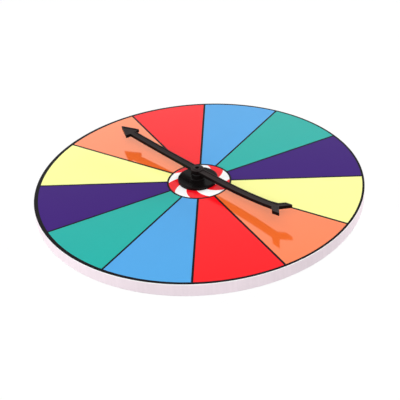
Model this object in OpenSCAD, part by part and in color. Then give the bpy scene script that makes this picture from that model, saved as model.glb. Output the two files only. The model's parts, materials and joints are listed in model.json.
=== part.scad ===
// Table-top carnival game wheel: a round foam board with a printed wedge face,
// and a long plastic arrow that spins on a pivot at the middle.
// The board lies flat. Its axis is Z, its underside is z = 0 and the origin is its centre.

/* [Board] */
// Diameter of the board
board_d = 400; // [320:1:600]
// Thickness of the foam core
foam_t = 15; // [10:0.5:30]
// Thickness of the white face sheet
sheet_t = 0.3; // [0.2:0.05:1]
// Thickness of the printed colour layer
print_t = 0.2; // [0.1:0.05:0.5]

/* [Print] */
// Width of the black line round the edge, where the print is centred
outline_w = 3.7; // [2.5:0.1:12]
// How far the line round the edge is printed past the board's edge, at the board's sides
outline_bleed = 0.3; // [0.1:0.1:2]
// Width of the bare strip of sheet that the line round the edge leaves at the front
bare_strip_w = 1; // [0.2:0.1:2]
// Width of the black lines between the wedges
divider_w = 2.5; // [0.5:0.1:6]
// Diameter over the ring line round the swirl
swirl_d = 79; // [60:0.2:140]
// Width of the ring line round the swirl
swirl_line_w = 2.3; // [0.5:0.1:5]
// How far each swirl arm turns from the middle out to the ring line, in degrees
swirl_sweep = 65.6; // [0:0.2:120]
// Direction of the first swirl arm at the middle, in degrees
swirl_angle = -25.8; // [-180:0.1:180]
// How far the print sits off the board's centre, to the right
print_shift_x = 1.1; // [-2:0.1:2]
// How far the print sits off the board's centre, to the back
print_shift_y = 0.6; // [-2:0.1:2]

/* [Spinner base] */
// How far the spinner sits off the board's centre, to the right
spinner_shift_x = -0.5; // [-6:0.1:6]
// How far the spinner sits off the board's centre, to the back
spinner_shift_y = 3.4; // [-6:0.1:6]
// Diameter of the base's flange
base_d = 48.8; // [36:0.2:60]
// Thickness of the base's flange
base_t = 3.6; // [2:0.1:5]
// Rounding of the flange's upper edge
base_edge_r = 0.8; // [0.2:0.1:1.5]
// Diameter of the boss on the flange
boss_d = 16; // [14:0.2:22]
// Height of the boss over the printed face
boss_h = 9.3; // [7:0.1:20]
// Fillet where the boss meets the flange
boss_fillet_r = 1.5; // [0.5:0.1:3]
// Diameter of the spigot that passes through the board
spigot_d = 11; // [9:0.2:16]

/* [Pivot] */
// Diameter of the hollow rivet that the arrow turns on
rivet_d = 7; // [6:0.1:8]
// Diameter of the hole down the rivet
rivet_core_d = 5; // [2:0.1:5.4]
// Thickness of the closed foot under the rivet's hole
rivet_floor_t = 3; // [1:0.5:6]
// Diameter of the rivet's flat head
rivet_head_d = 10.4; // [9:0.1:14]
// Thickness of the rivet's flat head
rivet_head_t = 0.6; // [0.4:0.1:2]
// Length of the rivet that is pressed into the boss
rivet_seat_l = 7; // [4:0.5:9]
// Diameter of the washer under the arrow
washer_d = 13; // [10:0.2:14]
// Thickness of the washer under the arrow
washer_t = 0.8; // [0.4:0.1:2]
// Radial clearance of the arrow on the rivet
run_gap = 0.05; // [0.01:0.01:0.1]
// Free play of the arrow under the rivet's head, and over the washer
end_float = 0.15; // [0.1:0.05:0.4]

/* [Arrow] */
// Direction in which the arrow points, in degrees from the right
arrow_angle = 134.8; // [0:0.1:360]
// Length from the axis to the arrow's tip
tip_l = 146.6; // [100:0.2:150]
// Length from the axis to the end of the arrow's tail
tail_l = 147.2; // [100:0.2:150]
// Width of the arrow's shaft
shaft_w = 8.8; // [6:0.1:12]
// Thickness of the arrow
arrow_t = 4.2; // [3:0.1:6]
// Length of the arrow's head
head_l = 23; // [14:0.2:40]
// Width of the arrow's head over its barbs
head_w = 22.2; // [15:0.2:40]
// How far the neck lies behind the barbs
neck_back = 1; // [0:0.1:5]
// Length of the forked tail
fork_l = 18.6; // [15:0.2:30]
// Width of the forked tail
fork_w = 22.2; // [18:0.2:40]
// Length of the cut end of each arm of the tail
fork_end_l = 11; // [9:0.2:13]
// Depth of the notch between the arms of the tail
fork_notch_l = 11; // [8:0.2:12]
// Width of the raised lip round the arrow's top
lip_w = 1.6; // [0.8:0.1:2.4]
// Height of the raised lip round the arrow's top
lip_h = 0.8; // [0.3:0.1:1.5]
// Radius in which the arrow bows upwards
bow_r = 3700; // [1000:10:6000]
// Length from the axis at which the bow is lowest and the tail starts to bow more
tail_bow_l = 45; // [20:1:110]
// Radius in which the tail bows upwards
tail_bow_r = 620; // [300:5:900]
// Diameter of the arrow's hub
hub_d = 15.6; // [13:0.1:20]
// How far the hub stands proud of the shaft, above and below
hub_rim = 0.3; // [0.1:0.1:1]
// Diameter of the collar under the hub
collar_d = 12; // [10:0.2:12.8]
// Height of the collar under the hub
collar_h = 1.75; // [0.5:0.05:6]

/* [Rear fixing] */
// Diameter of the plate that clamps the base from behind
rear_plate_d = 44; // [30:0.5:60]
// Thickness of the plate that clamps the base from behind
rear_plate_t = 2.5; // [2.2:0.1:4]
// How far the rear plate lies above the board's underside
rear_recess = 0.7; // [0.3:0.1:2]
// Radial clearance of the base and the plate in the board
fit_gap = 0.2; // [0.1:0.05:0.5]
// Diameter of the rear screw
screw_d = 3.5; // [2.5:0.1:5]
// Length of the rear screw
screw_l = 11; // [8:0.5:12]
// Diameter of the rear screw's countersunk head
screw_head_d = 7; // [5.6:0.1:9]
// Depth of the rear screw's countersunk head
screw_head_l = 1.9; // [1:0.1:2.1]
// Width of the cross recess in the screw's head
recess_w = 0.9; // [0.5:0.1:1.2]
// Length of the cross recess in the screw's head
recess_l = 3.6; // [2:0.1:4.5]
// Depth of the cross recess in the screw's head
recess_depth = 1.1; // [0.5:0.1:1.5]

/* [Hidden] */
// Colours of the wedges, counter-clockwise from the right, and how often they repeat
WEDGE_COLOURS = ["purple", "teal", "blue", "red", "orange", "yellow"];
WEDGE_ROUNDS = 2;
WEDGE_COUNT = WEDGE_ROUNDS * len(WEDGE_COLOURS);
WEDGE_NAMES = [
    for (i = [0 : WEDGE_COUNT - 1])
        str(WEDGE_COLOURS[i % len(WEDGE_COLOURS)], "_wedge_", 1 + floor(i / len(WEDGE_COLOURS)))
];
WEDGE_HUES = ["#5A3A8E", "#38AFA5", "#5CA6E6", "#F2404C", "#F79A76", "#F7EF8C"];
ARM_COUNT = 5;
ARM_NAMES = [for (i = [1 : ARM_COUNT]) str("red_swirl_", i)];
INK_BLACK = "#221F24";
MOULDED_BLACK = "#262428";

// Smoothness of the round shapes, and of the long bow of the arrow
$fn = 180;
bow_fn = 1440;
// Steps along each edge of a swirl arm
spiral_steps = 24;
// A cut reaches this far past the face that it opens
past = 1;

board_r = board_d / 2;
field_r = board_r - outline_w;
swirl_r = swirl_d / 2;
swirl_in_r = swirl_r - swirl_line_w;
wedge_a = 360 / WEDGE_COUNT;
arm_a = 180 / ARM_COUNT;

// Heights from the underside of the board upwards
print_z = foam_t + sheet_t;
face_z = print_z + print_t;
boss_top_z = face_z + boss_h;
collar_z = boss_top_z + washer_t + end_float;
hub_z = collar_z + collar_h;
arrow_low_z = hub_z + hub_rim;
arrow_top_z = arrow_low_z + arrow_t;
hub_top_z = arrow_top_z + hub_rim;
rivet_head_z = hub_top_z + end_float;
rivet_foot_z = boss_top_z - rivet_seat_l;
rivet_top_z = rivet_head_z + rivet_head_t;
plate_top_z = rear_recess + rear_plate_t;

// Heights of the arrow's top and underside where its bow is lowest
bow_top_z = arrow_top_z + sqrt(bow_r ^ 2 - tail_bow_l ^ 2) - bow_r;
bow_low_z = bow_top_z - arrow_t;

// The half outline of the arrow from tip to notch, as [along, across]
barb_s = tip_l - head_l;
fork_root_s = fork_l - tail_l;
HALF_ARROW = [
    [tip_l, 0],
    [barb_s, head_w / 2],
    [barb_s - neck_back, shaft_w / 2],
    [fork_root_s, shaft_w / 2],
    [fork_end_l - tail_l, fork_w / 2],
    [-tail_l, fork_w / 2],
    [fork_notch_l - tail_l, 0]
];
ARROW_OUTLINE = concat(
    HALF_ARROW,
    [for (i = [len(HALF_ARROW) - 2 : -1 : 1]) [HALF_ARROW[i].x, -HALF_ARROW[i].y]]
);

// The normal that points to the left of the edge from a to b
function left_normal(a, b) = [a.y - b.y, b.x - a.x] / norm(b - a);

// A counter-clockwise outline moved inwards by a distance, with its corners kept sharp
function inset(outline, distance) = [
    for (i = [0 : len(outline) - 1])
        let (
            before = outline[(i + len(outline) - 1) % len(outline)],
            here = outline[i],
            after = outline[(i + 1) % len(outline)],
            n_in = left_normal(before, here),
            n_out = left_normal(here, after)
        )
        here + distance * (n_in + n_out) / (1 + n_in * n_out)
];

// A point on a swirl line that leaves the middle in the direction start
function spiral(start, radius) =
    let (turned = start + swirl_sweep * radius / swirl_in_r)
    radius * [cos(turned), sin(turned)];

module at_spinner(z) {
    translate([spinner_shift_x, spinner_shift_y, z])
        children();
}

module at_print() {
    translate([print_shift_x, print_shift_y, print_z])
        children();
}

// The hole in the board that the base's spigot passes through
module spigot_hole() {
    at_spinner(-past)
        cylinder(d = spigot_d + 2 * fit_gap, h = face_z + 2 * past);
}

// One wedge of the print, with straight sides half a divider line from its neighbours
module wedge_field(i, height) {
    apex = divider_w / 2 / sin(wedge_a / 2);
    reach = board_d;
    rotate((i + 0.5) * wedge_a)
        intersection() {
            difference() {
                cylinder(r = field_r, h = height);
                translate([0, 0, -past])
                    cylinder(r = swirl_r, h = height + 2 * past);
            }
            translate([apex, 0, -past])
                linear_extrude(height + 2 * past)
                    polygon([
                        [0, 0],
                        [reach, -reach * tan(wedge_a / 2)],
                        [reach, reach * tan(wedge_a / 2)]
                    ]);
        }
}

module foam_disc() {
    color("#EFE4EA")
        difference() {
            cylinder(r = board_r, h = foam_t);
            spigot_hole();
            at_spinner(-past)
                cylinder(d = rear_plate_d + 2 * fit_gap, h = plate_top_z + past);
        }
}

module face_sheet() {
    color("#FAF6F7")
        difference() {
            translate([0, 0, foam_t])
                cylinder(r = board_r, h = sheet_t);
            spigot_hole();
        }
}

module wedge_print(i) {
    color(WEDGE_HUES[i % len(WEDGE_HUES)])
        at_print()
            wedge_field(i, print_t);
}

module line_print() {
    color(INK_BLACK)
        difference() {
            intersection() {
                translate([0, 0, print_z])
                    cylinder(r = board_r, h = print_t);
                translate([0, outline_bleed + bare_strip_w, print_z - past])
                    cylinder(r = board_r + outline_bleed, h = print_t + 2 * past);
            }
            at_print()
                translate([0, 0, -past]) {
                    cylinder(r = swirl_in_r, h = print_t + 2 * past);
                    for (i = [0 : WEDGE_COUNT - 1])
                        wedge_field(i, print_t + 2 * past);
                }
        }
}

module red_swirl(i) {
    start = swirl_angle + 2 * i * arm_a;
    radii = [for (k = [1 : spiral_steps + 1]) swirl_in_r * k / spiral_steps];
    edge_a = [for (r = radii) spiral(start, r)];
    edge_b = [for (k = [len(radii) - 1 : -1 : 0]) spiral(start + arm_a, radii[k])];
    color("#F23A48")
        difference() {
            at_print()
                intersection() {
                    linear_extrude(print_t)
                        polygon(concat([[0, 0]], edge_a, edge_b));
                    translate([0, 0, -past])
                        cylinder(r = swirl_in_r, h = print_t + 2 * past);
                }
            spigot_hole();
        }
}

// Half section of the base over the printed face, from the axis outwards
module base_section() {
    flat_r = base_d / 2 - base_edge_r;
    square([flat_r, base_t]);
    square([base_d / 2, base_t - base_edge_r]);
    translate([flat_r, base_t - base_edge_r])
        circle(r = base_edge_r);
    square([boss_d / 2, boss_h]);
    translate([boss_d / 2, base_t])
        difference() {
            square(boss_fillet_r);
            translate([boss_fillet_r, boss_fillet_r])
                circle(r = boss_fillet_r);
        }
}

module spinner_base() {
    color(MOULDED_BLACK)
        difference() {
            union() {
                at_spinner(face_z)
                    rotate_extrude()
                        base_section();
                at_spinner(plate_top_z)
                    cylinder(d = spigot_d, h = face_z - plate_top_z + base_t / 2);
            }
            at_spinner(rivet_foot_z)
                cylinder(d = rivet_d, h = rivet_seat_l + past);
            at_spinner(plate_top_z - past)
                cylinder(d = screw_d, h = rear_recess + screw_l - plate_top_z + past);
        }
}

module pivot_rivet() {
    color(MOULDED_BLACK)
        difference() {
            union() {
                at_spinner(rivet_foot_z)
                    cylinder(d = rivet_d, h = rivet_top_z - rivet_foot_z);
                at_spinner(rivet_head_z)
                    cylinder(d = rivet_head_d, h = rivet_head_t);
            }
            at_spinner(rivet_foot_z + rivet_floor_t)
                cylinder(d = rivet_core_d, h = rivet_top_z - rivet_foot_z - rivet_floor_t + past);
        }
}

module thrust_washer() {
    color(MOULDED_BLACK)
        at_spinner(boss_top_z)
            difference() {
                cylinder(d = washer_d, h = washer_t);
                translate([0, 0, -past])
                    cylinder(d = rivet_d + 2 * run_gap, h = washer_t + 2 * past);
            }
}

// The half of a cylinder across the arrow that lies on the tip's side
module half_cylinder(radius) {
    intersection() {
        rotate([90, 0, 0])
            cylinder(r = radius, h = board_d, center = true, $fn = bow_fn);
        translate([0, -board_d, -2 * radius])
            cube([2 * radius, 2 * board_d, 4 * radius]);
    }
}

// The space over a surface this deep under the arrow's top: a long bow, and a tighter one for the tail.
// The two meet where both are lowest, so that the surface has no kink there.
module bow(depth) {
    translate([-tail_bow_l, 0, bow_top_z]) {
        translate([0, 0, bow_r])
            half_cylinder(bow_r + depth);
        translate([0, 0, tail_bow_r])
            rotate(180)
                half_cylinder(tail_bow_r + depth);
    }
}

module spinner_arrow() {
    tall = board_r;
    color(MOULDED_BLACK)
        at_spinner(0)
            rotate(arrow_angle)
                difference() {
                    union() {
                        difference() {
                            intersection() {
                                translate([0, 0, bow_low_z - past])
                                    linear_extrude(tall)
                                        polygon(ARROW_OUTLINE);
                                bow(arrow_t);
                            }
                            bow(0);
                            intersection() {
                                translate([0, 0, bow_low_z])
                                    linear_extrude(tall)
                                        polygon(inset(ARROW_OUTLINE, lip_w));
                                bow(lip_h);
                            }
                        }
                        translate([0, 0, hub_z])
                            cylinder(d = hub_d, h = hub_top_z - hub_z);
                        translate([0, 0, collar_z])
                            cylinder(d = collar_d, h = collar_h + hub_rim);
                    }
                    translate([0, 0, collar_z - past])
                        cylinder(d = rivet_d + 2 * run_gap, h = hub_top_z - collar_z + 2 * past);
                }
}

module screw_shape(gap) {
    cylinder(d1 = screw_head_d, d2 = screw_d, h = screw_head_l);
    cylinder(d = screw_d + 2 * gap, h = screw_l);
}

module rear_plate() {
    color(MOULDED_BLACK)
        at_spinner(rear_recess)
            difference() {
                cylinder(d = rear_plate_d, h = rear_plate_t);
                screw_shape(fit_gap);
            }
}

module rear_screw() {
    color("#B9BBBE")
        at_spinner(rear_recess)
            difference() {
                screw_shape(0);
                for (turn = [0, 90])
                    rotate(turn)
                        translate([-recess_l / 2, -recess_w / 2, -past])
                            cube([recess_l, recess_w, recess_depth + past]);
            }
}

foam_disc();
face_sheet();
for (i = [0 : WEDGE_COUNT - 1])
    wedge_print(i);
line_print();
for (i = [0 : ARM_COUNT - 1])
    red_swirl(i);
spinner_base();
pivot_rivet();
thrust_washer();
spinner_arrow();
rear_plate();
rear_screw();
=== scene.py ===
"""Looks of a table-top carnival game wheel: a printed foam board with a spinning plastic arrow."""

import json
import math

import bmesh
import bpy
from bpy.props import FloatProperty, FloatVectorProperty, PointerProperty
from mathutils import Matrix, Vector
from mathutils.geometry import delaunay_2d_cdt


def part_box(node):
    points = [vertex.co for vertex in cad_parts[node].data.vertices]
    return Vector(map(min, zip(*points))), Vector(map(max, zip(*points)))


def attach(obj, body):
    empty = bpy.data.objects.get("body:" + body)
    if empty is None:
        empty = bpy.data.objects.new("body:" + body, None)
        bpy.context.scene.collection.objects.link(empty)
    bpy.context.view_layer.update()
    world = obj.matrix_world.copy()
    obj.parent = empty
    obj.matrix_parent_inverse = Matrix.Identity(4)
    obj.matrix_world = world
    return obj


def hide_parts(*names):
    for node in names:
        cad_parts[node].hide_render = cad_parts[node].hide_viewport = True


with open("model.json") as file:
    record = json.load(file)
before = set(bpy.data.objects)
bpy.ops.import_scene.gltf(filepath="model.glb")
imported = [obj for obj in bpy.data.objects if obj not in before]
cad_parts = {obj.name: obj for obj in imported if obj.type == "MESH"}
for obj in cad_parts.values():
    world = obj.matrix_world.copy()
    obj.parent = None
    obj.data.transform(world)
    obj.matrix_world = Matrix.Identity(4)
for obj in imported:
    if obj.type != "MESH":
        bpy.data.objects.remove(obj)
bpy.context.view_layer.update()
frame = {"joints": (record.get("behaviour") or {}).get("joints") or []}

bl_info = {
    "name": "Carnival game wheel",
    "version": (1, 0, 0),
    "blender": (4, 5, 0),
    "location": "View3D > Sidebar > Game wheel",
    "description": "Builds a printed foam game board with a spinning arrow, and a studio round it",
    "category": "Object",
}

MM = 0.001

# The print's colours, counter-clockwise from the right, and how often they go round
INK_ORDER = ["purple", "teal", "blue", "red", "orange", "yellow"]
INK_ROUNDS = 2
WEDGE_COUNT = INK_ROUNDS * len(INK_ORDER)
WEDGE_ANGLE = 2 * math.pi / WEDGE_COUNT
ARM_COUNT = 5
ARM_ANGLE = math.pi / ARM_COUNT

# Smoothness: steps round turned pieces and the rim, along the print's fields, and round edges and corners
TURN_STEPS = 160
RIM_STEPS = 384
WEDGE_ARC_STEPS = 32
WEDGE_RADIAL_STEPS = 12
ARM_ARC_STEPS = 24
ARM_RADIAL_STEPS = 40
EDGE_STEPS = 4
CORNER_STEPS = 5
# Steps round the edges of the arrow's lips, and the length of a step along the arrow
LIP_STEPS = 3
BOW_STEP = 2 * MM
# Steps round the screw's thread, and rows of points to each of its turns
THREAD_STEPS = 48
THREAD_ROWS = 8
# Edges that turn more than this stay crisp
CRISP_ANGLE = math.radians(32)
# Points closer together than this are one point
WELD = 0.001 * MM
# Lengths from the frame are taken to a hundredth of a millimetre
FRAME_DIGITS = 5


def node_span(*nodes):
    """Lowest and highest corner over several nodes of the frame."""
    boxes = [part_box(name) for name in nodes]
    low = [round(min(box[0][axis] for box in boxes), FRAME_DIGITS) for axis in range(3)]
    high = [round(max(box[1][axis] for box in boxes), FRAME_DIGITS) for axis in range(3)]
    return Vector(low), Vector(high)


def wedge_node(index):
    """Name of the frame's node for one colour field."""
    return f"{INK_ORDER[index % len(INK_ORDER)]}_wedge_{1 + index // len(INK_ORDER)}"


# Places that the frame gives
FOAM_LOW, FOAM_HIGH = node_span("foam_disc")
FIELD_LOW, FIELD_HIGH = node_span(*[wedge_node(index) for index in range(WEDGE_COUNT)])
BASE_LOW, BASE_HIGH = node_span("spinner_base")
RIVET_LOW, RIVET_HIGH = node_span("pivot_rivet")
WASHER_LOW, WASHER_HIGH = node_span("thrust_washer")
PLATE_LOW, PLATE_HIGH = node_span("rear_plate")
SHEET_TOP = node_span("face_sheet")[1].z
LINE_FRONT = node_span("line_print")[0].y
SCREW_TOP = node_span("rear_screw")[1].z
COLLAR_Z = node_span("spinner_arrow")[0].z
SPINNER_AXIS = Vector(frame["joints"][0]["pos_m"]).xy
PRINT_CENTRE = (FIELD_LOW.xy + FIELD_HIGH.xy) / 2
FACE_Z = FIELD_HIGH.z
ORIGIN = Vector((0, 0))


def number(name, description, default, **kind):
    return FloatProperty(name=name, description=description, default=default, **kind)


def length(name, description, default):
    return number(name, description, default, min=0, unit="LENGTH", subtype="DISTANCE")


def mm(name, description, default):
    """A length that is given in millimetres."""
    return length(name, description, default * MM)


def angle(name, description, degrees):
    return number(name, description, math.radians(degrees), unit="ROTATION", subtype="ANGLE")


def share(name, description, default):
    return number(name, description, default, min=0, max=1, subtype="FACTOR")


def lamp_power(name, description, default):
    return number(name, description, default, min=0, unit="POWER")


def colour(name, description, default):
    return FloatVectorProperty(
        name=name, description=description, default=default, min=0, max=1, size=3, subtype="COLOR"
    )


class BoardSizes(bpy.types.PropertyGroup):
    radius: length("Radius", "Radius of the round board", FOAM_HIGH.x)
    foam_top: length("Foam top", "Height of the foam's upper face", FOAM_HIGH.z)
    sheet_top: length("Sheet top", "Height of the white sheet's upper face", SHEET_TOP)
    print_top: length("Print top", "Height of the printed face", FACE_Z)
    under_edge: mm("Lower edge", "Rounding of the foam's lower edge", 0.9)
    cut_edge: mm("Cut edge", "Rounding of the foam where the sheet is laid on", 0.15)
    hole_radius: mm("Hole", "Radius of the hole that the base's spigot passes through", 5.7)
    seat_radius: mm("Seat", "Radius of the seat for the rear plate", 22.2)


class PrintSizes(bpy.types.PropertyGroup):
    field_radius: length("Fields", "Outer radius of the colour fields", FIELD_HIGH.x - PRINT_CENTRE.x)
    bare_strip: length("Bare strip", "Bare sheet in front of the outline", LINE_FRONT - FOAM_LOW.y)
    bleed: mm("Bleed", "How far the outline is printed past the sides of the board", 0.3)
    divider: mm("Divider", "Width of the black lines between the fields", 2.5)
    ring_radius: mm("Ring", "Outer radius of the ring line round the swirl", 39.5)
    ring_width: mm("Ring line", "Width of the ring line round the swirl", 2.3)
    arm_root: mm("Arm root", "Radius at which the swirl's arms start, under the base", 9.6)
    arm_start: angle("Arm start", "Direction of the first arm at the middle", -25.8)
    arm_sweep: angle("Arm sweep", "How far an arm turns from the middle out to the ring line", 65.6)


class SpinnerSizes(bpy.types.PropertyGroup):
    flange_radius: length("Flange", "Radius of the base's flange", BASE_HIGH.x - SPINNER_AXIS.x)
    flange_depth: mm("Flange depth", "Thickness of the base's flange", 3.6)
    flange_edge: mm("Flange edge", "Rounding of the flange's upper edge", 0.8)
    boss_radius: mm("Boss", "Radius of the boss on the flange", 8)
    boss_fillet: mm("Boss fillet", "Fillet where the boss meets the flange", 1.5)
    spigot_radius: mm("Spigot", "Radius of the spigot under the flange", 5.5)
    rivet_radius: mm("Rivet", "Radius of the hollow rivet", 3.5)
    rivet_core: mm("Rivet hole", "Radius of the hole down the rivet", 2.5)
    rivet_floor: mm("Rivet foot", "Thickness of the closed foot under the rivet's hole", 3)
    rivet_head: mm("Rivet head", "Thickness of the rivet's rolled head", 0.6)
    run_gap: mm("Running gap", "Radial clearance on the rivet", 0.05)
    fine_edge: mm("Fine edge", "Rounding of the small moulded edges", 0.25)


class ArrowSizes(bpy.types.PropertyGroup):
    direction: angle("Direction", "Direction in which the arrow points, from the right", 134.8)
    tip: mm("Tip", "Length from the axis to the tip", 146.6)
    tail: mm("Tail", "Length from the axis to the end of the tail", 147.2)
    shaft: mm("Shaft", "Width of the shaft", 8.8)
    depth: mm("Depth", "Thickness of the arrow", 4.2)
    head_length: mm("Head length", "Length of the head", 23)
    head_width: mm("Head width", "Width of the head over its barbs", 22.2)
    neck_back: mm("Neck", "How far the neck lies behind the barbs", 1)
    fork_length: mm("Fork length", "Length of the forked tail", 18.6)
    fork_width: mm("Fork width", "Width of the forked tail", 22.2)
    fork_end: mm("Fork end", "Length of the straight side of each arm", 11)
    fork_notch: mm("Notch", "Depth of the notch between the arms", 11)
    lip_width: mm("Lip width", "Width of the raised lip", 1.6)
    lip_height: mm("Lip height", "Height of the raised lip", 0.8)
    bow_radius: mm("Bow", "Radius in which the arrow bows upwards", 3700)
    tail_bow_start: mm("Tail bow", "Length from the axis at which the bow is lowest", 45)
    tail_bow_radius: mm("Tail bow radius", "Radius in which the tail bows upwards", 620)
    corner: mm("Corner", "Rounding of the corners in plan", 0.5)
    hub_radius: mm("Hub", "Radius of the hub", 7.8)
    hub_rim: mm("Hub rim", "How far the hub stands proud of the shaft", 0.3)
    collar_radius: mm("Collar", "Radius of the collar under the hub", 6)
    collar_height: mm("Collar height", "Height of the collar under the hub", 1.75)


class RearSizes(bpy.types.PropertyGroup):
    plate_edge: mm("Plate edge", "Rounding of the rear plate's edges", 0.5)
    screw_radius: mm("Screw", "Radius over the screw's thread", 1.75)
    thread_pitch: mm("Pitch", "Pitch of the screw's thread", 1.3)
    thread_depth: mm("Thread depth", "Depth of the screw's thread", 0.4)
    shank_gap: mm("Shank gap", "Radial clearance of the screw in the plate", 0.2)
    head_radius: mm("Screw head", "Radius of the countersunk head", 3.5)
    head_depth: mm("Head depth", "Depth of the countersunk head", 1.9)
    recess_width: mm("Recess width", "Width of the cross recess", 0.9)
    recess_length: mm("Recess length", "Length of the cross recess", 3.6)
    recess_depth: mm("Recess depth", "Depth of the cross recess", 1.1)


class Finishes(bpy.types.PropertyGroup):
    purple: colour("Purple ink", "Colour of the purple fields", (0.044, 0.009, 0.172))
    teal: colour("Teal ink", "Colour of the teal fields", (0.006, 0.404, 0.352))
    blue: colour("Blue ink", "Colour of the blue fields", (0.073, 0.357, 0.742))
    red: colour("Red ink", "Colour of the red fields", (0.93, 0.006, 0.012))
    orange: colour("Orange ink", "Colour of the orange fields", (1.0, 0.172, 0.03))
    yellow: colour("Yellow ink", "Colour of the yellow fields", (0.95, 0.95, 0.33))
    swirl: colour("Swirl red", "Colour of the swirl's red arms", (0.93, 0.005, 0.014))
    black: colour("Black ink", "Colour of the printed lines", (0.005, 0.004, 0.006))
    sheet: colour("White sheet", "Colour of the bare sheet", (0.98, 0.98, 0.98))
    foam: colour("Foam", "Colour of the foam", (0.92, 0.8, 0.86))
    plastic: colour("Black plastic", "Colour of the moulded plastic", (0.0045, 0.0035, 0.0035))
    nylon: colour("Washer", "Colour of the washer", (0.022, 0.021, 0.022))
    steel: colour("Screw steel", "Colour of the screw", (0.48, 0.49, 0.5))
    mottle: share("Mottle", "How far the ink's strength varies over a field", 0.05)


class StudioSettings(bpy.types.PropertyGroup):
    azimuth: angle("Azimuth", "How far the camera stands to the right of the front", 4.506)
    elevation: angle("Elevation", "How far the camera looks down", 33.696)
    roll: angle("Roll", "How far the camera is turned about its own axis", -4.239)
    distance: mm("Distance", "From the camera to the plane through the print's centre", 1150.7)
    aim: FloatVectorProperty(
        name="Aim",
        description="Where the picture's centre lies from the print's centre, to the right and up",
        default=(0.98 * MM, -23.23 * MM),
        size=2,
        unit="LENGTH",
    )
    lens: number("Lens", "Focal length in millimetres", 84.87, min=1, unit="CAMERA")
    sky: share("Sky", "Strength of the light from all round", 0.45)
    front: lamp_power("Front lamp", "Power of the wide lamp at the camera's side", 119)
    left: lamp_power("Left lamp", "Power of the wide lamp on the left", 116)
    right: lamp_power("Right lamp", "Power of the wide lamp on the right", 146)
    ceiling: share("Ceiling", "How bright the room is overhead, as the gloss mirrors it", 0.2)
    floor: share("Floor", "Brightness of the floor in the light", 0.2)
    glow: share("Floor glow", "How much of the floor's white is its own", 0.93)


class GameWheelSettings(bpy.types.PropertyGroup):
    board: PointerProperty(type=BoardSizes)
    printed: PointerProperty(type=PrintSizes)
    spinner: PointerProperty(type=SpinnerSizes)
    arrow: PointerProperty(type=ArrowSizes)
    rear: PointerProperty(type=RearSizes)
    finish: PointerProperty(type=Finishes)
    studio: PointerProperty(type=StudioSettings)


def settings():
    return bpy.context.scene.game_wheel


# Nodes

def feed(tree, socket, value):
    """Links a socket to another, or sets its value."""
    if isinstance(value, bpy.types.NodeSocket):
        tree.links.new(value, socket)
    else:
        socket.default_value = value


def feed_all(tree, node, **inputs):
    """Feeds a node's inputs by name."""
    for name, value in inputs.items():
        feed(tree, node.inputs[name.replace("_", " ")], value)


def add_node(tree, kind, options=None, **inputs):
    """Adds a node, sets its options, and feeds its inputs by name."""
    made = tree.nodes.new(kind)
    for option, value in (options or {}).items():
        setattr(made, option, value)
    feed_all(tree, made, **inputs)
    return made


def result_of(tree, kind, *values, options=None, **inputs):
    """A node's first output, with its first inputs fed in order and others by name."""
    made = add_node(tree, kind, options, **inputs)
    for socket, value in zip(made.inputs, values):
        feed(tree, socket, value)
    return made.outputs[0]


def maths(tree, operation, *values):
    return result_of(tree, "ShaderNodeMath", *values, options={"operation": operation})


def spread(tree, value, low, high, start=0.0, end=1.0):
    """A value between start and end, spread from low to high and held there."""
    return result_of(tree, "ShaderNodeMapRange", value, start, end, low, high)


def noise(tree, where, scale, detail=2.0):
    """Soft noise from 0 to 1, with its scale in cycles per metre."""
    return result_of(tree, "ShaderNodeTexNoise", where, Scale=scale, Detail=detail)


def object_place(tree, stretch=(1, 1, 1)):
    """The place on the piece, stretched along its axes."""
    place = add_node(tree, "ShaderNodeTexCoord").outputs["Object"]
    return result_of(tree, "ShaderNodeMapping", place, Scale=stretch)


def blend(tree, factor, first, second):
    """A colour that passes from one into another."""
    mix = add_node(tree, "ShaderNodeMix", {"data_type": "RGBA"})
    for index, value in ((0, factor), (6, first), (7, second)):
        feed(tree, mix.inputs[index], value)
    return mix.outputs[2]


def new_tree(name, kind, inputs, outputs):
    """An empty node group with named sockets, its input node and its output node."""
    tree = bpy.data.node_groups.new(name, kind)
    for direction, sockets in (("INPUT", inputs), ("OUTPUT", outputs)):
        for socket, held in sockets.items():
            tree.interface.new_socket(socket, in_out=direction, socket_type=f"NodeSocket{held}")
    return tree, tree.nodes.new("NodeGroupInput"), tree.nodes.new("NodeGroupOutput")


# Finishes that several materials share

FILM, SKIN = "Printed film", "Moulded skin"
FINISH_OUTPUTS = {"Colour": "Color", "Roughness": "Float", "Height": "Float"}


def uneven(tree, middle, cloud, swing):
    """A value that follows a cloud, up and down from its middle."""
    return maths(tree, "MULTIPLY_ADD", maths(tree, "SUBTRACT", cloud, 0.5), swing, middle)


def printed_film():
    """Ink under a satin film: a faint mottle in the colour, and the film's own fine skin."""
    inputs = {"Ink": "Color", "Mottle": "Float", "Satin": "Float"}
    tree, given, result = new_tree(FILM, "ShaderNodeTree", inputs, FINISH_OUTPUTS)
    where = object_place(tree)
    cloud = noise(tree, where, scale=24, detail=4.0)
    speckle = noise(tree, where, scale=650)
    both = maths(tree, "MULTIPLY_ADD", speckle, 0.4, maths(tree, "MULTIPLY", cloud, 0.6))
    thin = maths(tree, "SUBTRACT", 1.0, given.outputs["Mottle"])
    thick = maths(tree, "ADD", 1.0, given.outputs["Mottle"])
    strength = spread(tree, both, thin, thick)
    tinted = result_of(tree, "ShaderNodeHueSaturation", Value=strength, Color=given.outputs["Ink"])
    gloss = uneven(tree, given.outputs["Satin"], cloud, swing=0.12)
    fine = noise(tree, where, scale=2400)
    feed_all(tree, result, Colour=tinted, Roughness=gloss, Height=fine)
    return tree


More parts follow.
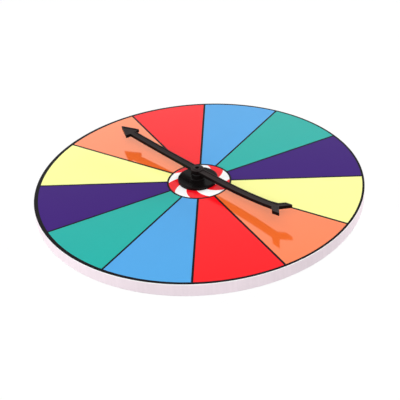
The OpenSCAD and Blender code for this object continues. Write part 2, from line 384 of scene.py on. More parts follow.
def moulded_skin():
    """Moulded plastic: fine tool texture, cloudy gloss, rubbed marks, and a painted sheen that lightens
    what faces up.
    """
    inputs = {"Plastic": "Color", "Satin": "Float", "Rubbed": "Float", "Dust": "Float"}
    tree, given, result = new_tree(SKIN, "ShaderNodeTree", inputs, FINISH_OUTPUTS)
    where = object_place(tree)
    marks = noise(tree, object_place(tree, stretch=(900, 140, 140)), scale=1.0, detail=3.0)
    rubbed = spread(tree, marks, 0.0, given.outputs["Rubbed"], start=0.62, end=0.78)
    facing = add_node(tree, "ShaderNodeTexCoord").outputs["Normal"]
    upwards = add_node(tree, "ShaderNodeSeparateXYZ", Vector=facing).outputs["Z"]
    # Painted sheen: faces that look up are made lighter in colour, standing in for the light that they
    # mirror
    painted_top_sheen = spread(tree, upwards, 0.0, given.outputs["Dust"], start=0.6, end=0.95)
    value = maths(tree, "ADD", maths(tree, "ADD", 1.0, rubbed), painted_top_sheen)
    paler = result_of(tree, "ShaderNodeHueSaturation", Value=value, Color=given.outputs["Plastic"])
    cloud = noise(tree, where, scale=90, detail=3.0)
    cloudy = uneven(tree, given.outputs["Satin"], cloud, swing=0.18)
    gloss = maths(tree, "MULTIPLY_ADD", rubbed, 0.08, cloudy)
    fine = noise(tree, where, scale=3000)
    feed_all(tree, result, Colour=paler, Roughness=gloss, Height=fine)
    return tree


# Materials

def new_material(name):
    """An empty node material, its tree and its Principled shader."""
    material = bpy.data.materials.new(name)
    material.use_nodes = True
    tree = material.node_tree
    return material, tree, tree.nodes["Principled BSDF"]


def rgba(rgb):
    return (*rgb, 1.0)


def add_bump(tree, shader, height, depth, strength):
    bump = result_of(tree, "ShaderNodeBump", Height=height, Distance=depth, Strength=strength)
    feed(tree, shader.inputs["Normal"], bump)


def skinned(name, group, given, specular, depth, strength, ior=1.5, sheen=(1, 1, 1)):
    """A material in a shared finish. Its sheen is the colour of what it mirrors."""
    if name in bpy.data.materials:
        return bpy.data.materials[name]
    material, tree, shader = new_material(name)
    skin = add_node(tree, "ShaderNodeGroup", {"node_tree": group}, **given).outputs
    feed_all(tree, shader, Base_Color=skin["Colour"], Roughness=skin["Roughness"])
    feed_all(tree, shader, Specular_IOR_Level=specular, IOR=ior, Specular_Tint=rgba(sheen))
    add_bump(tree, shader, skin["Height"], depth, strength)
    return material


def film_material(name, ink, satin=0.15, specular=0.33, **mirror):
    """Printed film in one ink."""
    group = bpy.data.node_groups.get(FILM) or printed_film()
    given = {"Ink": rgba(ink), "Mottle": settings().finish.mottle, "Satin": satin}
    return skinned(name, group, given, specular, depth=0.02 * MM, strength=0.15, **mirror)


# Film that mirrors the room less or more than that of the other inks
INK_GLOSS = {
    "purple": {"specular": 0.12},
    "orange": {"satin": 0.08, "specular": 0.5, "ior": 2.65, "sheen": (1, 1, 0.85)},
    "black": {"satin": 0.3, "specular": 0.1},
    "sheet": {"satin": 0.2, "specular": 0.15},
}
# Gloss of the mouldings: roughness, rubbed marks, mirroring, and a painted sheen that lightens what faces
# up
BASE_GLOSS = (0.26, 0.4, 0.1, 0.0)
# The arrow and the rivet get a strong painted sheen: their upper faces are painted lighter
ARROW_GLOSS = (0.3, 0.6, 0.04, 7.0)
WASHER_GLOSS = (0.45, 0.4, 0.2, 0.0)


def plastic_material(name, plastic, satin, rubbed, specular, dust):
    """Moulded plastic, more or less glossy and rubbed, with a painted sheen on what faces up."""
    group = bpy.data.node_groups.get(SKIN) or moulded_skin()
    given = {"Plastic": rgba(plastic), "Satin": satin, "Rubbed": rubbed, "Dust": dust}
    return skinned(name, group, given, specular, depth=0.03 * MM, strength=0.25)


def foam_material():
    """Closed-cell foam with a knife-cut side: small cells, and streaks that run down the cut."""
    material, tree, shader = new_material("Cut foam")
    foam = Vector(settings().finish.foam)
    cells = result_of(tree, "ShaderNodeTexVoronoi", object_place(tree), Scale=750)
    streaks = noise(tree, object_place(tree, stretch=(260, 260, 24)), scale=1.0, detail=3.0)
    cloud = noise(tree, object_place(tree), scale=45, detail=3.0)
    both = maths(tree, "MULTIPLY_ADD", streaks, 0.6, maths(tree, "MULTIPLY", cloud, 0.4))
    dark, pale = rgba(foam * 0.94), rgba(foam * 1.06)
    colours = blend(tree, spread(tree, both, low=-0.4, high=1.4), dark, pale)
    feed_all(tree, shader, Base_Color=colours, Roughness=spread(tree, cloud, low=0.78, high=0.95))
    feed_all(tree, shader, Specular_IOR_Level=0.25, Sheen_Weight=0.05)
    height = maths(tree, "MULTIPLY_ADD", streaks, 0.7, maths(tree, "MULTIPLY", cells, 0.5))
    add_bump(tree, shader, height, depth=0.12 * MM, strength=0.35)
    return material


def steel_material():
    """Turned steel, with fine rings round the screw's axis."""
    material, tree, shader = new_material("Turned steel")
    steel = Vector(settings().finish.steel)
    place = add_node(tree, "ShaderNodeTexCoord").outputs["Object"]
    centred = result_of(tree, "ShaderNodeMapping", place, Location=(*-SPINNER_AXIS, 0))
    rings = add_node(
        tree,
        "ShaderNodeTexWave",
        {"wave_type": "RINGS", "rings_direction": "Z"},
        Vector=centred,
        Scale=900,
        Distortion=1.5,
        Detail=2,
    ).outputs["Fac"]
    tarnish = noise(tree, place, scale=500, detail=3.0)
    dark, pale = rgba(steel * 0.8), rgba(steel * 1.15)
    feed_all(tree, shader, Base_Color=blend(tree, tarnish, dark, pale), Metallic=1.0)
    feed(tree, shader.inputs["Roughness"], spread(tree, rings, low=0.28, high=0.42))
    add_bump(tree, shader, rings, depth=0.01 * MM, strength=0.3)
    return material


# Meshes

def arc(centre, radius, start, end, steps=EDGE_STEPS):
    """Points along an arc in a half section, as (radius, height), with its angles in degrees."""
    angles = [math.radians(start + (end - start) * k / steps) for k in range(steps + 1)]
    return [(centre[0] + radius * math.cos(a), centre[1] + radius * math.sin(a)) for a in angles]


def rod(radius, low, high):
    """Half section of a plain round rod."""
    return [(0, low), (radius, low), (radius, high), (0, high)]


def polar(centre, reach, turn, height):
    """A point in a direction and at a reach from an upright axis."""
    return centre.x + reach * math.cos(turn), centre.y + reach * math.sin(turn), height


def bridge(work, rings):
    """Faces from each ring of points to the next. A ring on the axis is one point, at every step."""
    for lower, upper in zip(rings, rings[1:]):
        for k in range(len(lower)):
            after = (k + 1) % len(lower)
            points = list(dict.fromkeys([lower[k], lower[after], upper[after], upper[k]]))
            if len(points) > 2:
                work.faces.new(points)


def turned(section, centre, steps=TURN_STEPS):
    """A mesh turned about an upright axis from a closed half section of (radius, height) points."""
    work = bmesh.new()
    turns = [2 * math.pi * k / steps for k in range(steps)]
    rings = []
    for radius, height in section:
        if radius < WELD:
            rings.append([work.verts.new((*centre, height))] * steps)
        else:
            rings.append([work.verts.new(polar(centre, radius, turn, height)) for turn in turns])
    bridge(work, rings + rings[:1])
    return plain_mesh(work)


def plain_mesh(work):
    """A mesh from a bmesh, welded and with its faces outwards."""
    bmesh.ops.remove_doubles(work, verts=work.verts, dist=WELD)
    bmesh.ops.recalc_face_normals(work, faces=work.faces)
    mesh = bpy.data.meshes.new("work")
    work.to_mesh(mesh)
    work.free()
    return mesh


def new_object(name, mesh):
    made = bpy.data.objects.new(name, mesh)
    bpy.context.scene.collection.objects.link(made)
    return made


def baked(made):
    """The object's mesh with its modifiers applied. The object itself goes."""
    graph = bpy.context.evaluated_depsgraph_get()
    mesh = bpy.data.meshes.new_from_object(made.evaluated_get(graph))
    bpy.data.objects.remove(made)
    return mesh


def joined(mesh, other, operation):
    """Two meshes joined, or one cut from the other."""
    first = new_object("work_first", mesh)
    second = new_object("work_second", other)
    step = first.modifiers.new("Boolean", "BOOLEAN")
    step.operation = operation
    step.object = second
    step.solver = "EXACT"
    result = baked(first)
    bpy.data.objects.remove(second)
    return result


def bored(mesh, centre, radius, low, high):
    """The mesh with a round hole from one height to another."""
    return joined(mesh, turned(rod(radius, low, high), centre), "DIFFERENCE")


def shaded(mesh):
    """The mesh with smooth faces, crisp edges, and normals weighted to its large faces."""
    work = bmesh.new()
    work.from_mesh(mesh)
    bmesh.ops.remove_doubles(work, verts=work.verts, dist=WELD)
    bmesh.ops.dissolve_degenerate(work, edges=work.edges, dist=WELD)
    for face in work.faces:
        face.smooth = True
    for edge in work.edges:
        edge.smooth = edge.is_manifold and edge.calc_face_angle() < CRISP_ANGLE
    work.to_mesh(mesh)
    work.free()
    made = new_object("work_shaded", mesh)
    step = made.modifiers.new("Weighted normals", "WEIGHTED_NORMAL")
    step.keep_sharp = True
    return baked(made)


def add_piece(name, mesh, material, node, body="board"):
    """A finished piece on its body, in the place of its node."""
    mesh.name = name
    mesh.materials.clear()
    mesh.materials.append(material)
    piece = new_object(name, mesh)
    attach(piece, body)
    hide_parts(node)


def add_turned(name, section, material, node):
    """A finished piece of the board, turned about the spinner's axis."""
    add_piece(name, shaded(turned(section, SPINNER_AXIS)), material, node)


# Geometry Nodes

FIELD = "Printed field"
FIELD_INPUTS = {
    "Inner Radius": "Float",
    "Outer Radius": "Float",
    "Direction": "Float",
    "Half Angle": "Float",
    "Sweep": "Float",
    "Divider": "Float",
    "Radial Steps": "Int",
    "Arc Steps": "Int",
    "Centre": "Vector",
    "Thickness": "Float",
    "Material": "Material",
}


def printed_field_tree():
    """One field of the print: a thin plate in polar places, between two arcs, that may swirl.

    Its sides keep half a divider line from its neighbours, and turn with the radius by the sweep.
    """
    tree, given, result = new_tree(FIELD, "GeometryNodeTree", FIELD_INPUTS, {"Geometry": "Geometry"})
    size = given.outputs
    grid = result_of(
        tree,
        "GeometryNodeMeshGrid",
        Size_X=1.0,
        Size_Y=1.0,
        Vertices_X=maths(tree, "ADD", size["Radial Steps"], 1.0),
        Vertices_Y=maths(tree, "ADD", size["Arc Steps"], 1.0),
    )
    position = add_node(tree, "GeometryNodeInputPosition").outputs["Position"]
    place = add_node(tree, "ShaderNodeSeparateXYZ", Vector=position)
    outwards = maths(tree, "ADD", place.outputs["X"], 0.5)
    radius = spread(tree, outwards, size["Inner Radius"], size["Outer Radius"])
    half_divider = maths(tree, "DIVIDE", size["Divider"], 2.0)
    half_line = maths(tree, "ARCSINE", maths(tree, "DIVIDE", half_divider, radius))
    half = maths(tree, "SUBTRACT", size["Half Angle"], half_line)
    across = maths(tree, "MULTIPLY", maths(tree, "MULTIPLY", place.outputs["Y"], 2.0), half)
    swirled = maths(tree, "MULTIPLY", size["Sweep"], maths(tree, "DIVIDE", radius, size["Outer Radius"]))
    turn = maths(tree, "ADD", maths(tree, "ADD", across, swirled), size["Direction"])
    x = maths(tree, "MULTIPLY", radius, maths(tree, "COSINE", turn))
    y = maths(tree, "MULTIPLY", radius, maths(tree, "SINE", turn))
    flat = result_of(tree, "ShaderNodeCombineXYZ", x, y)
    seat = result_of(tree, "ShaderNodeVectorMath", flat, size["Centre"], options={"operation": "ADD"})
    sheet = result_of(tree, "GeometryNodeSetPosition", grid, Position=seat)
    raised = result_of(
        tree,
        "GeometryNodeExtrudeMesh",
        sheet,
        options={"mode": "FACES"},
        Offset_Scale=size["Thickness"],
        Individual=False,
    )
    under = result_of(tree, "GeometryNodeFlipFaces", sheet)
    both = add_node(tree, "GeometryNodeJoinGeometry")
    for part in (under, raised):
        feed(tree, both.inputs["Geometry"], part)
    closed = result_of(tree, "GeometryNodeMergeByDistance", both.outputs["Geometry"], Distance=WELD)
    real = result_of(tree, "GeometryNodeRealizeInstances", closed)
    inked = result_of(tree, "GeometryNodeSetMaterial", real, Material=size["Material"])
    feed(tree, result.inputs["Geometry"], inked)
    return tree


def add_field(name, material, node, slot, **sizes):
    """A field of the print as a finished piece, with the tree's inputs given by name."""
    board = settings().board
    sizes.update(
        centre=(*PRINT_CENTRE, board.sheet_top),
        thickness=board.print_top - board.sheet_top,
        material=material,
    )
    tree = bpy.data.node_groups.get(FIELD) or printed_field_tree()
    carrier = new_object("work_field", bpy.data.meshes.new("work_field"))
    step = carrier.modifiers.new(FIELD, "NODES")
    step.node_group = tree
    for socket in tree.interface.items_tree:
        if socket.in_out == "INPUT":
            step[socket.identifier] = sizes[socket.name.lower().replace(" ", "_")]
    add_piece(name, shaded(baked(carrier)), material, node)


# Board

class GAMEWHEEL_OT_foam_board(bpy.types.Operator):
    """Makes the round foam board, with the hole and the seat for the spinner"""

    bl_idname = "game_wheel.foam_board"
    bl_label = "Foam board"

    def execute(self, context):
        size = settings().board
        low, high = 0.0, size.foam_top
        under, cut = size.under_edge, size.cut_edge
        section = [
            (0, low),
            *arc((size.radius - under, low + under), under, -90, 0),
            *arc((size.radius - cut, high - cut), cut, 0, 90),
            (0, high),
        ]
        mesh = turned(section, ORIGIN, RIM_STEPS)
        past = high / 2
        for radius, floor in ((size.hole_radius, high + past), (size.seat_radius, PLATE_HIGH.z)):
            mesh = bored(mesh, SPINNER_AXIS, radius, -past, floor)
        add_piece("foam_board", shaded(mesh), foam_material(), "foam_disc")
        return {"FINISHED"}


class GAMEWHEEL_OT_face_sheet(bpy.types.Operator):
    """Makes the white sheet that is laid on the foam"""

    bl_idname = "game_wheel.face_sheet"
    bl_label = "Face sheet"

    def execute(self, context):
        size = settings().board
        low, high = size.foam_top, size.sheet_top
        sheet = turned(rod(size.radius, low, high), ORIGIN, RIM_STEPS)
        mesh = bored(sheet, SPINNER_AXIS, size.hole_radius, 2 * low - high, 2 * high - low)
        material = film_material("Bare sheet", settings().finish.sheet, **INK_GLOSS["sheet"])
        add_piece("white_sheet", shaded(mesh), material, "face_sheet")
        return {"FINISHED"}


class GAMEWHEEL_OT_colour_fields(bpy.types.Operator):
    """Makes the twelve colour fields of the print"""

    bl_idname = "game_wheel.colour_fields"
    bl_label = "Colour fields"

    def execute(self, context):
        size, inks = settings().printed, settings().finish
        for index in range(WEDGE_COUNT):
            ink = INK_ORDER[index % len(INK_ORDER)]
            gloss = INK_GLOSS.get(ink, {})
            add_field(
                f"{ink}_field_{1 + index // len(INK_ORDER)}",
                film_material(f"{ink.capitalize()} print", getattr(inks, ink), **gloss),
                wedge_node(index),
                f"{ink}_print",
                inner_radius=size.ring_radius,
                outer_radius=size.field_radius,
                direction=(index + 0.5) * WEDGE_ANGLE,
                half_angle=WEDGE_ANGLE / 2,
                sweep=0.0,
                divider=size.divider,
                radial_steps=WEDGE_RADIAL_STEPS,
                arc_steps=WEDGE_ARC_STEPS,
            )
        return {"FINISHED"}


class GAMEWHEEL_OT_swirl_arms(bpy.types.Operator):
    """Makes the red arms of the swirl"""

    bl_idname = "game_wheel.swirl_arms"
    bl_label = "Swirl arms"

    def execute(self, context):
        size = settings().printed
        material = film_material("Swirl print", settings().finish.swirl)
        for index in range(ARM_COUNT):
            add_field(
                f"swirl_arm_{1 + index}",
                material,
                f"red_swirl_{1 + index}",
                "swirl_red_print",
                inner_radius=size.arm_root,
                outer_radius=size.ring_radius - size.ring_width,
                direction=size.arm_start + (2 * index + 0.5) * ARM_ANGLE,
                half_angle=ARM_ANGLE / 2,
                sweep=size.arm_sweep,
                divider=0.0,
                radial_steps=ARM_RADIAL_STEPS,
                arc_steps=ARM_ARC_STEPS,
            )
        return {"FINISHED"}


def line_turns(radius, divider):
    """Directions of the points along a circle of the print: two sides of a line, then a field's arc."""
    half_line = math.asin(divider / 2 / radius)
    turns = []
    for index in range(WEDGE_COUNT):
        start = index * WEDGE_ANGLE + half_line
        end = (index + 1) * WEDGE_ANGLE - half_line
        turns += [start + (end - start) * k / WEDGE_ARC_STEPS for k in range(WEDGE_ARC_STEPS + 1)]
    return turns


def reach_to_circle(turn, centre, radius):
    """Length from the print's centre, in a direction, to a circle that has another centre."""
    off = PRINT_CENTRE - centre
    along = off.x * math.cos(turn) + off.y * math.sin(turn)
    return math.sqrt(along**2 + radius**2 - off.length_squared) - along


def reach_to_edge(turn, size, rim):
    """Length from the print's centre to the outline's outer edge, or to the board's rim if nearer."""
    outline = reach_to_circle(turn, Vector((0, size.bleed + size.bare_strip)), rim + size.bleed)
    return min(outline, reach_to_circle(turn, ORIGIN, rim))


class GAMEWHEEL_OT_line_print(bpy.types.Operator):
    """Makes the black outline, the lines between the fields and the ring round the swirl"""

    bl_idname = "game_wheel.line_print"
    bl_label = "Line print"

    def execute(self, context):
        size, board = settings().printed, settings().board
        inner = line_turns(size.ring_radius, size.divider)
        outer = line_turns(size.field_radius, size.divider)
        circles = [
            [(turn, size.ring_radius - size.ring_width) for turn in inner],
            [(turn, size.ring_radius) for turn in inner],
            [(turn, size.field_radius) for turn in outer],
            [(turn, reach_to_edge(turn, size, board.radius)) for turn in outer],
        ]
        work = bmesh.new()
        rows = [
            [work.verts.new(polar(PRINT_CENTRE, reach, turn, board.sheet_top)) for turn, reach in circle]
            for circle in circles
        ]
        count = len(inner)
        for band, (near, far) in enumerate(zip(rows, rows[1:])):
            for k in range(count):
                after = (k + 1) % count
                is_line = after % (WEDGE_ARC_STEPS + 1) == 0
                if band == 1 and not is_line:
                    continue
                work.faces.new([near[k], far[k], far[after], near[after]])
        under = work.faces[:]
        raised = bmesh.ops.extrude_face_region(work, geom=under, use_keep_orig=True)
        upper = [item for item in raised["geom"] if isinstance(item, bmesh.types.BMVert)]
        bmesh.ops.translate(work, verts=upper, vec=(0, 0, board.print_top - board.sheet_top))
        material = film_material("Black print", settings().finish.black, **INK_GLOSS["black"])
        add_piece("black_lines", shaded(plain_mesh(work)), material, "line_print")
        return {"FINISHED"}


# Spinner

class GAMEWHEEL_OT_spinner_base(bpy.types.Operator):
    """Makes the base: the flange on the face, its boss, and the spigot through the board"""

    bl_idname = "game_wheel.spinner_base"
    bl_label = "Spinner base"

    def execute(self, context):
        size, rear = settings().spinner, settings().rear
        flange_top = FACE_Z + size.flange_depth
        edge, fine, fillet = size.flange_edge, size.fine_edge, size.boss_fillet
        section = [
            (rear.screw_radius, BASE_LOW.z),
            (size.spigot_radius, BASE_LOW.z),
            (size.spigot_radius, FACE_Z),
            *arc((size.flange_radius - fine, FACE_Z + fine), fine, -90, 0),
            *arc((size.flange_radius - edge, flange_top - edge), edge, 0, 90, 2 * EDGE_STEPS),
            *arc((size.boss_radius + fillet, flange_top + fillet), fillet, 270, 180, 2 * EDGE_STEPS),
            *arc((size.boss_radius - fine, BASE_HIGH.z - fine), fine, 0, 90),
            (size.rivet_radius, BASE_HIGH.z),
            (size.rivet_radius, RIVET_LOW.z),
            (0, RIVET_LOW.z),
            (0, SCREW_TOP),
            (rear.screw_radius, SCREW_TOP),
        ]
        material = plastic_material("Base plastic", settings().finish.plastic, *BASE_GLOSS)
        add_turned("base_moulding", section, material, "spinner_base")
        return {"FINISHED"}


class GAMEWHEEL_OT_pivot(bpy.types.Operator):
    """Makes the hollow rivet that the arrow turns on, and the washer under the arrow"""

    bl_idname = "game_wheel.pivot"
    bl_label = "Pivot"

    def execute(self, context):
        size, finish = settings().spinner, settings().finish
        head_radius = RIVET_HIGH.x - SPINNER_AXIS.x
        top, fine = RIVET_HIGH.z, size.fine_edge
        roll = size.rivet_head / 2
        rivet = [
            (0, RIVET_LOW.z),
            (size.rivet_radius - fine, RIVET_LOW.z),
            (size.rivet_radius, RIVET_LOW.z + fine),
            (size.rivet_radius, top - size.rivet_head),
            *arc((head_radius - roll, top - roll), roll, -90, 90, 2 * EDGE_STEPS),
            *arc((size.rivet_core + roll, top - roll), roll, 90, 180, 2 * EDGE_STEPS),
            (size.rivet_core, RIVET_LOW.z + size.rivet_floor),
            (0, RIVET_LOW.z + size.rivet_floor),
        ]
        material = plastic_material("Rivet plastic", finish.plastic, *ARROW_GLOSS)
        add_turned("hollow_rivet", rivet, material, "pivot_rivet")

        washer_radius = WASHER_HIGH.x - SPINNER_AXIS.x
        bore = size.rivet_radius + size.run_gap
        round_r = fine / 2
        low, high = WASHER_LOW.z + round_r, WASHER_HIGH.z - round_r
        washer = [
            *arc((bore + round_r, low), round_r, 180, 270),
            *arc((washer_radius - round_r, low), round_r, -90, 0),
            *arc((washer_radius - round_r, high), round_r, 0, 90),
            *arc((bore + round_r, high), round_r, 90, 180),
        ]
        material = plastic_material("Washer nylon", finish.nylon, *WASHER_GLOSS)
        add_turned("nylon_washer", washer, material, "thrust_washer")
        return {"FINISHED"}


def arrow_outline(size):
    """The arrow in plan, counter-clockwise from its tip, as points along and across it."""
    barb = size.tip - size.head_length
    half = [
        (size.tip, 0),
        (barb, size.head_width / 2),
        (barb - size.neck_back, size.shaft / 2),
        (size.fork_length - size.tail, size.shaft / 2),
        (size.fork_end - size.tail, size.fork_width / 2),
        (-size.tail, size.fork_width / 2),
        (size.fork_notch - size.tail, 0),
    ]
    other = [(along, -across) for along, across in half[-2:0:-1]]
    return [Vector(point) for point in half + other]


def corners(outline):
    """Each corner of an outline with the corners before and after it."""
    return zip(outline[-1:] + outline[:-1], outline, outline[1:] + outline[:1])


def inset(outline, distance):
    """The outline moved inwards, with its corners kept sharp."""
    moved = []
    for before, here, after in corners(outline):
        normal_in = (here - before).orthogonal().normalized()
        normal_out = (after - here).orthogonal().normalized()
        moved.append(here + distance * (normal_in + normal_out) / (1 + normal_in.dot(normal_out)))
    return moved


def rounded(outline, radius, edge_steps):
    """The outline with an arc at each corner, and with its sides in steps so that they can bow."""
    arcs = []
    for before, here, after in corners(outline):
        to_before = (before - here).normalized()
        to_after = (after - here).normalized()
        opening = to_before.angle(to_after)
        middle = here + (to_before + to_after).normalized() * radius / math.sin(opening / 2)
        start = here + to_before * radius / math.tan(opening / 2) - middle
        end = here + to_after * radius / math.tan(opening / 2) - middle
        turn = math.atan2(start.cross(end), start.dot(end))
        arcs.append([
            middle + Matrix.Rotation(turn * k / CORNER_STEPS, 2) @ start for k in range(CORNER_STEPS + 1)
        ])
    points = []
    for steps, here, after in zip(edge_steps, arcs, arcs[1:] + arcs[:1]):
        points += here
        points += [here[-1].lerp(after[0], k / steps) for k in range(1, steps)]
    return points


def bowed(size, top, point, depth):
    """A point of the blade at a depth under its top, on the long bow or on the tail's tighter one."""
    along = point.x + size.tail_bow_start
    radius = size.bow_radius if along > 0 else size.tail_bow_radius
    lowest = top + math.sqrt(size.bow_radius**2 - size.tail_bow_start**2) - size.bow_radius
    return point.x, point.y, lowest + radius - math.sqrt((radius + depth) ** 2 - along**2)


def arrow_blade(size, low, fine):
    """The bowed blade of the arrow along X: rounded edges, a raised lip and a sunk middle."""
    outline = arrow_outline(size)
    edge_steps = [
        max(1, round((after - here).length / BOW_STEP)) for before, here, after in corners(outline)
    ]
    lip, sunk = size.lip_width, size.lip_height
    turns = [math.pi / 2 * k / LIP_STEPS for k in range(LIP_STEPS + 1)]
    quarter = [(math.sin(a), 1 - math.cos(a)) for a in turns]
    levels = [(fine * (1 - s), size.depth - fine * c) for s, c in quarter]
    levels += [(fine * c, fine * (1 - s)) for s, c in quarter]
    levels += [(lip - fine * (1 - s), fine * c) for s, c in quarter]
    levels += [(lip + fine * c, sunk - fine * (1 - s)) for s, c in quarter]
    work = bmesh.new()
    loops, flats = [], []
    for inwards, depth in levels:
        flat = rounded(inset(outline, inwards), size.corner, edge_steps)
        flats.append(flat)
        loops.append([work.verts.new(bowed(size, low + size.depth, point, depth)) for point in flat])
    bridge(work, loops)
    count = len(loops[0])
    edges = [(k, (k + 1) % count) for k in range(count)]
    for flat, loop in ((flats[0], loops[0]), (flats[-1], loops[-1])):
        filled = delaunay_2d_cdt(flat, edges, [], 1, 0.01 * WELD)
        for triangle in filled[2]:
            work.faces.new([loop[filled[3][k][0]] for k in triangle])
    return plain_mesh(work)


class GAMEWHEEL_OT_spinner_arrow(bpy.types.Operator):
    """Makes the bowed arrow with its lips, its forked tail and its hub"""

    bl_idname = "game_wheel.spinner_arrow"
    bl_label = "Spinner arrow"

    def execute(self, context):
        size, spinner = settings().arrow, settings().spinner
        hub_low = COLLAR_Z + size.collar_height
        low = hub_low + size.hub_rim
        hub_top = low + size.depth + size.hub_rim
        fine = spinner.fine_edge
        hub = [
            (0, COLLAR_Z),
            *arc((size.collar_radius - fine, COLLAR_Z + fine), fine, -90, 0),
            (size.collar_radius, hub_low),
            *arc((size.hub_radius - fine, hub_low + fine), fine, -90, 0),
            *arc((size.hub_radius - fine, hub_top - fine), fine, 0, 90),
            (0, hub_top),
        ]
        bore_radius = spinner.rivet_radius + spinner.run_gap
        mesh = joined(arrow_blade(size, low, fine), turned(hub, ORIGIN), "UNION")
        mesh = shaded(bored(mesh, ORIGIN, bore_radius, COLLAR_Z - size.depth, hub_top + size.depth))
        turn = Matrix.Rotation(size.direction, 4, "Z")
        mesh.transform(Matrix.Translation((*SPINNER_AXIS, 0)) @ turn)
        material = plastic_material("Arrow plastic", settings().finish.plastic, *ARROW_GLOSS)
        add_piece("arrow_moulding", mesh, material, "spinner_arrow", "arrow")
        return {"FINISHED"}


# Rear fixing

def threaded_shank(rear, low, high):
    """A screw's shank with a running thread, closed at both ends."""
    work = bmesh.new()
    rows = max(2, round((high - low) / rear.thread_pitch * THREAD_ROWS))
    rings = []
    for row in range(rows + 1):
        height = low + (high - low) * row / rows
        ring = []
        for k in range(THREAD_STEPS):
            phase = (height / rear.thread_pitch - k / THREAD_STEPS) % 1
            reach = rear.screw_radius - rear.thread_depth * abs(2 * phase - 1)
            ring.append(work.verts.new(polar(ORIGIN, reach, 2 * math.pi * k / THREAD_STEPS, height)))
        rings.append(ring)
    bridge(work, rings)
    work.faces.new(rings[0][::-1])
    work.faces.new(rings[-1])
    return plain_mesh(work)


def box_mesh(low, high):
    work = bmesh.new()
    low, high = Vector(low), Vector(high)
    bmesh.ops.create_cube(work, size=1, matrix=Matrix.LocRotScale((low + high) / 2, None, high - low))
    return plain_mesh(work)


class GAMEWHEEL_OT_rear_fixing(bpy.types.Operator):
    """Makes the plate that clamps the base from behind, and its screw"""

    bl_idname = "game_wheel.rear_fixing"
    bl_label = "Rear fixing"

    def execute(self, context):
        rear, finish = settings().rear, settings().finish
        radius, edge = PLATE_HIGH.x - SPINNER_AXIS.x, rear.plate_edge
        low, high = PLATE_LOW.z, PLATE_HIGH.z
        shank_hole = rear.screw_radius + rear.shank_gap
        slope = (rear.head_radius - rear.screw_radius) / rear.head_depth
        plate = [
            (rear.head_radius, low),
            *arc((radius - edge, low + edge), edge, -90, 0),
            *arc((radius - edge, high - edge), edge, 0, 90),
            (shank_hole, high),
            (shank_hole, low + (rear.head_radius - shank_hole) / slope),
        ]
        material = plastic_material("Base plastic", finish.plastic, *BASE_GLOSS)
        add_turned("rear_disc", plate, material, "rear_plate")

        head = [
            (0, low),
            (rear.head_radius, low),
            (rear.screw_radius - rear.thread_depth, low + rear.head_depth),
            (0, low + rear.head_depth),
        ]
        past = rear.thread_pitch
        shank = threaded_shank(rear, low + rear.head_depth / 2, SCREW_TOP)
        mesh = joined(turned(head, ORIGIN), shank, "UNION")
        reach, half = rear.recess_length / 2, rear.recess_width / 2
        for across, along in ((reach, half), (half, reach)):
            slot = box_mesh((-across, -along, low - past), (across, along, low + rear.recess_depth))
            mesh = joined(mesh, slot, "DIFFERENCE")
        mesh = shaded(mesh)
        mesh.transform(Matrix.Translation((*SPINNER_AXIS, 0)))
        add_piece("cross_screw", mesh, steel_material(), "rear_screw")
        return {"FINISHED"}


# Stage

# Soft lamps: the length of a side in metres, the azimuth and the elevation in degrees
LAMPS = {"front": (2.4, 5, 40), "left": (1.4, -100, 10), "right": (1.4, 130, 10)}
LAMP_DISTANCE = 4.0
FLOOR_SIZE = 6.0
# The floor is this far below the board, and what is closer to it than this lies on it
FLOOR_DROP = 0.05 * MM
TOUCHING = 0.2 * MM
# Elevations at which the white walls end and the darker ceiling starts
WALL_TOP = math.radians(28)
CEILING = math.radians(45)


def seen_ray(tree):
    """1 for rays that show the stage itself: seen directly, in gloss or through glass."""
    path = tree.nodes.new("ShaderNodeLightPath").outputs
    mirrored = maths(tree, "MAXIMUM", path["Is Glossy Ray"], path["Is Transmission Ray"])
    return maths(tree, "MAXIMUM", path["Is Camera Ray"], mirrored)


def floor_material(studio):
    """A pale floor that is white where it is seen and takes a shadow.

    From below it is open, and so it is to the face that lies on it.
    """
    material, tree, shader = new_material("Pale floor")
    tree.nodes.remove(shader)
    seen = seen_ray(tree)
    white = spread(tree, seen, studio.floor, 1.0)
    matt = result_of(tree, "ShaderNodeBsdfDiffuse", white)
    glow = result_of(tree, "ShaderNodeEmission", Strength=1.0)
    own_white = maths(tree, "MULTIPLY", seen, studio.glow)
    lit = result_of(tree, "ShaderNodeMixShader", own_white, matt, glow)
    reach = tree.nodes.new("ShaderNodeLightPath").outputs["Ray Length"]
    lying = maths(tree, "LESS_THAN", reach, TOUCHING)
    below = tree.nodes.new("ShaderNodeNewGeometry").outputs["Backfacing"]
    clear = result_of(tree, "ShaderNodeBsdfTransparent")
    opening = maths(tree, "MAXIMUM", below, lying)
    surface = result_of(tree, "ShaderNodeMixShader", opening, lit, clear)
    feed(tree, tree.nodes["Material Output"].inputs["Surface"], surface)
    return material


def white_world(studio):
    """A white room all round, which lights the board more softly than it shows.

    In a mirror its walls are white, and it gets darker overhead.
    """
    world = bpy.data.worlds.new("White room")
    world.use_nodes = True
    tree = world.node_tree
    tree.nodes.clear()
    direction = add_node(tree, "ShaderNodeTexCoord").outputs["Generated"]
    height = add_node(tree, "ShaderNodeSeparateXYZ", Vector=direction).outputs["Z"]
    sky = spread(tree, maths(tree, "GREATER_THAN", height, 0.0), 1.0, studio.sky)
    overhead = spread(tree, height, 1.0, studio.ceiling, math.sin(WALL_TOP), math.sin(CEILING))
    direct = tree.nodes.new("ShaderNodeLightPath").outputs["Is Camera Ray"]
    white = maths(tree, "MAXIMUM", direct, overhead)
    light = result_of(tree, "ShaderNodeBackground", rgba((1, 1, 1)), sky)
    seen = result_of(tree, "ShaderNodeBackground", rgba((1, 1, 1)), white)
    room = result_of(tree, "ShaderNodeMixShader", seen_ray(tree), light, seen)
    output = tree.nodes.new("ShaderNodeOutputWorld")
    feed(tree, output.inputs["Surface"], room)
    return world


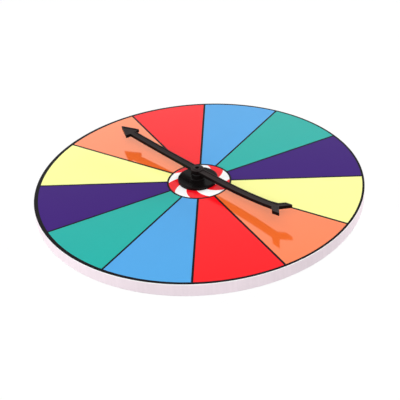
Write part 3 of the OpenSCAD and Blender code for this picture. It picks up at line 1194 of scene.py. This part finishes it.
def towards(azimuth, elevation):
    """Direction of what stands at an azimuth, from the front to the right, and at an elevation."""
    flat = math.cos(elevation)
    return Vector((math.sin(azimuth) * flat, -math.cos(azimuth) * flat, math.sin(elevation)))


def add_lamp(name, power, size, azimuth, elevation):
    """A square soft lamp that faces the board and isn't seen itself."""
    lamp = bpy.data.lights.new(name, "AREA")
    lamp.energy = power
    lamp.size = size
    made = new_object(name, lamp)
    direction = towards(math.radians(azimuth), math.radians(elevation))
    made.location = direction * LAMP_DISTANCE
    made.rotation_mode = "QUATERNION"
    made.rotation_quaternion = direction.to_track_quat("Z", "Y")
    made.visible_camera = False
    made.visible_glossy = False


def add_camera(studio):
    """The camera at the photograph's angle."""
    back = towards(studio.azimuth, studio.elevation)
    level = Vector((math.cos(studio.azimuth), math.sin(studio.azimuth), 0))
    right = Matrix.Rotation(studio.roll, 3, back) @ level
    up = back.cross(right)
    camera = new_object("camera", bpy.data.cameras.new("camera"))
    aim = Vector((*PRINT_CENTRE, FACE_Z)) + right * studio.aim[0] + up * studio.aim[1]
    camera.matrix_world = (
        Matrix.Translation(aim + back * studio.distance) @ Matrix((right, up, back)).transposed().to_4x4()
    )
    camera.data.lens = studio.lens
    bpy.context.scene.camera = camera


class GAMEWHEEL_OT_studio(bpy.types.Operator):
    """Makes the camera, the pale floor, the white room and the soft lamps"""

    bl_idname = "game_wheel.studio"
    bl_label = "Studio"

    def execute(self, context):
        studio = settings().studio
        context.scene.view_settings.view_transform = "Standard"
        context.scene.world = white_world(studio)
        add_camera(studio)
        for side, place in LAMPS.items():
            add_lamp(f"{side}_lamp", getattr(studio, side), *place)
        work = bmesh.new()
        bmesh.ops.create_grid(work, x_segments=1, y_segments=1, size=FLOOR_SIZE / 2)
        mesh = bpy.data.meshes.new("floor")
        work.to_mesh(mesh)
        work.free()
        mesh.materials.append(floor_material(studio))
        mesh.transform(Matrix.Translation((0, 0, -FLOOR_DROP)))
        new_object("floor", mesh)
        return {"FINISHED"}


OPERATORS = (
    GAMEWHEEL_OT_studio,
    GAMEWHEEL_OT_foam_board,
    GAMEWHEEL_OT_face_sheet,
    GAMEWHEEL_OT_colour_fields,
    GAMEWHEEL_OT_swirl_arms,
    GAMEWHEEL_OT_line_print,
    GAMEWHEEL_OT_spinner_base,
    GAMEWHEEL_OT_pivot,
    GAMEWHEEL_OT_spinner_arrow,
    GAMEWHEEL_OT_rear_fixing,
)


class GAMEWHEEL_PT_pieces(bpy.types.Panel):
    """Lists the pieces of the game wheel"""

    bl_idname = "GAMEWHEEL_PT_pieces"
    bl_label = "Game wheel"
    bl_space_type = "VIEW_3D"
    bl_region_type = "UI"
    bl_category = "Game wheel"

    def draw(self, context):
        for operator in OPERATORS:
            self.layout.operator(operator.bl_idname)


CLASSES = (
    BoardSizes,
    PrintSizes,
    SpinnerSizes,
    ArrowSizes,
    RearSizes,
    Finishes,
    StudioSettings,
    GameWheelSettings,
    *OPERATORS,
    GAMEWHEEL_PT_pieces,
)


def register():
    for item in CLASSES:
        bpy.utils.register_class(item)
    bpy.types.Scene.game_wheel = PointerProperty(type=GameWheelSettings)


def unregister():
    del bpy.types.Scene.game_wheel
    for item in reversed(CLASSES):
        bpy.utils.unregister_class(item)


def main():
    register()
    for operator in OPERATORS:
        getattr(bpy.ops.game_wheel, operator.bl_idname.split(".")[1])()


if __name__ == "__main__":
    main()
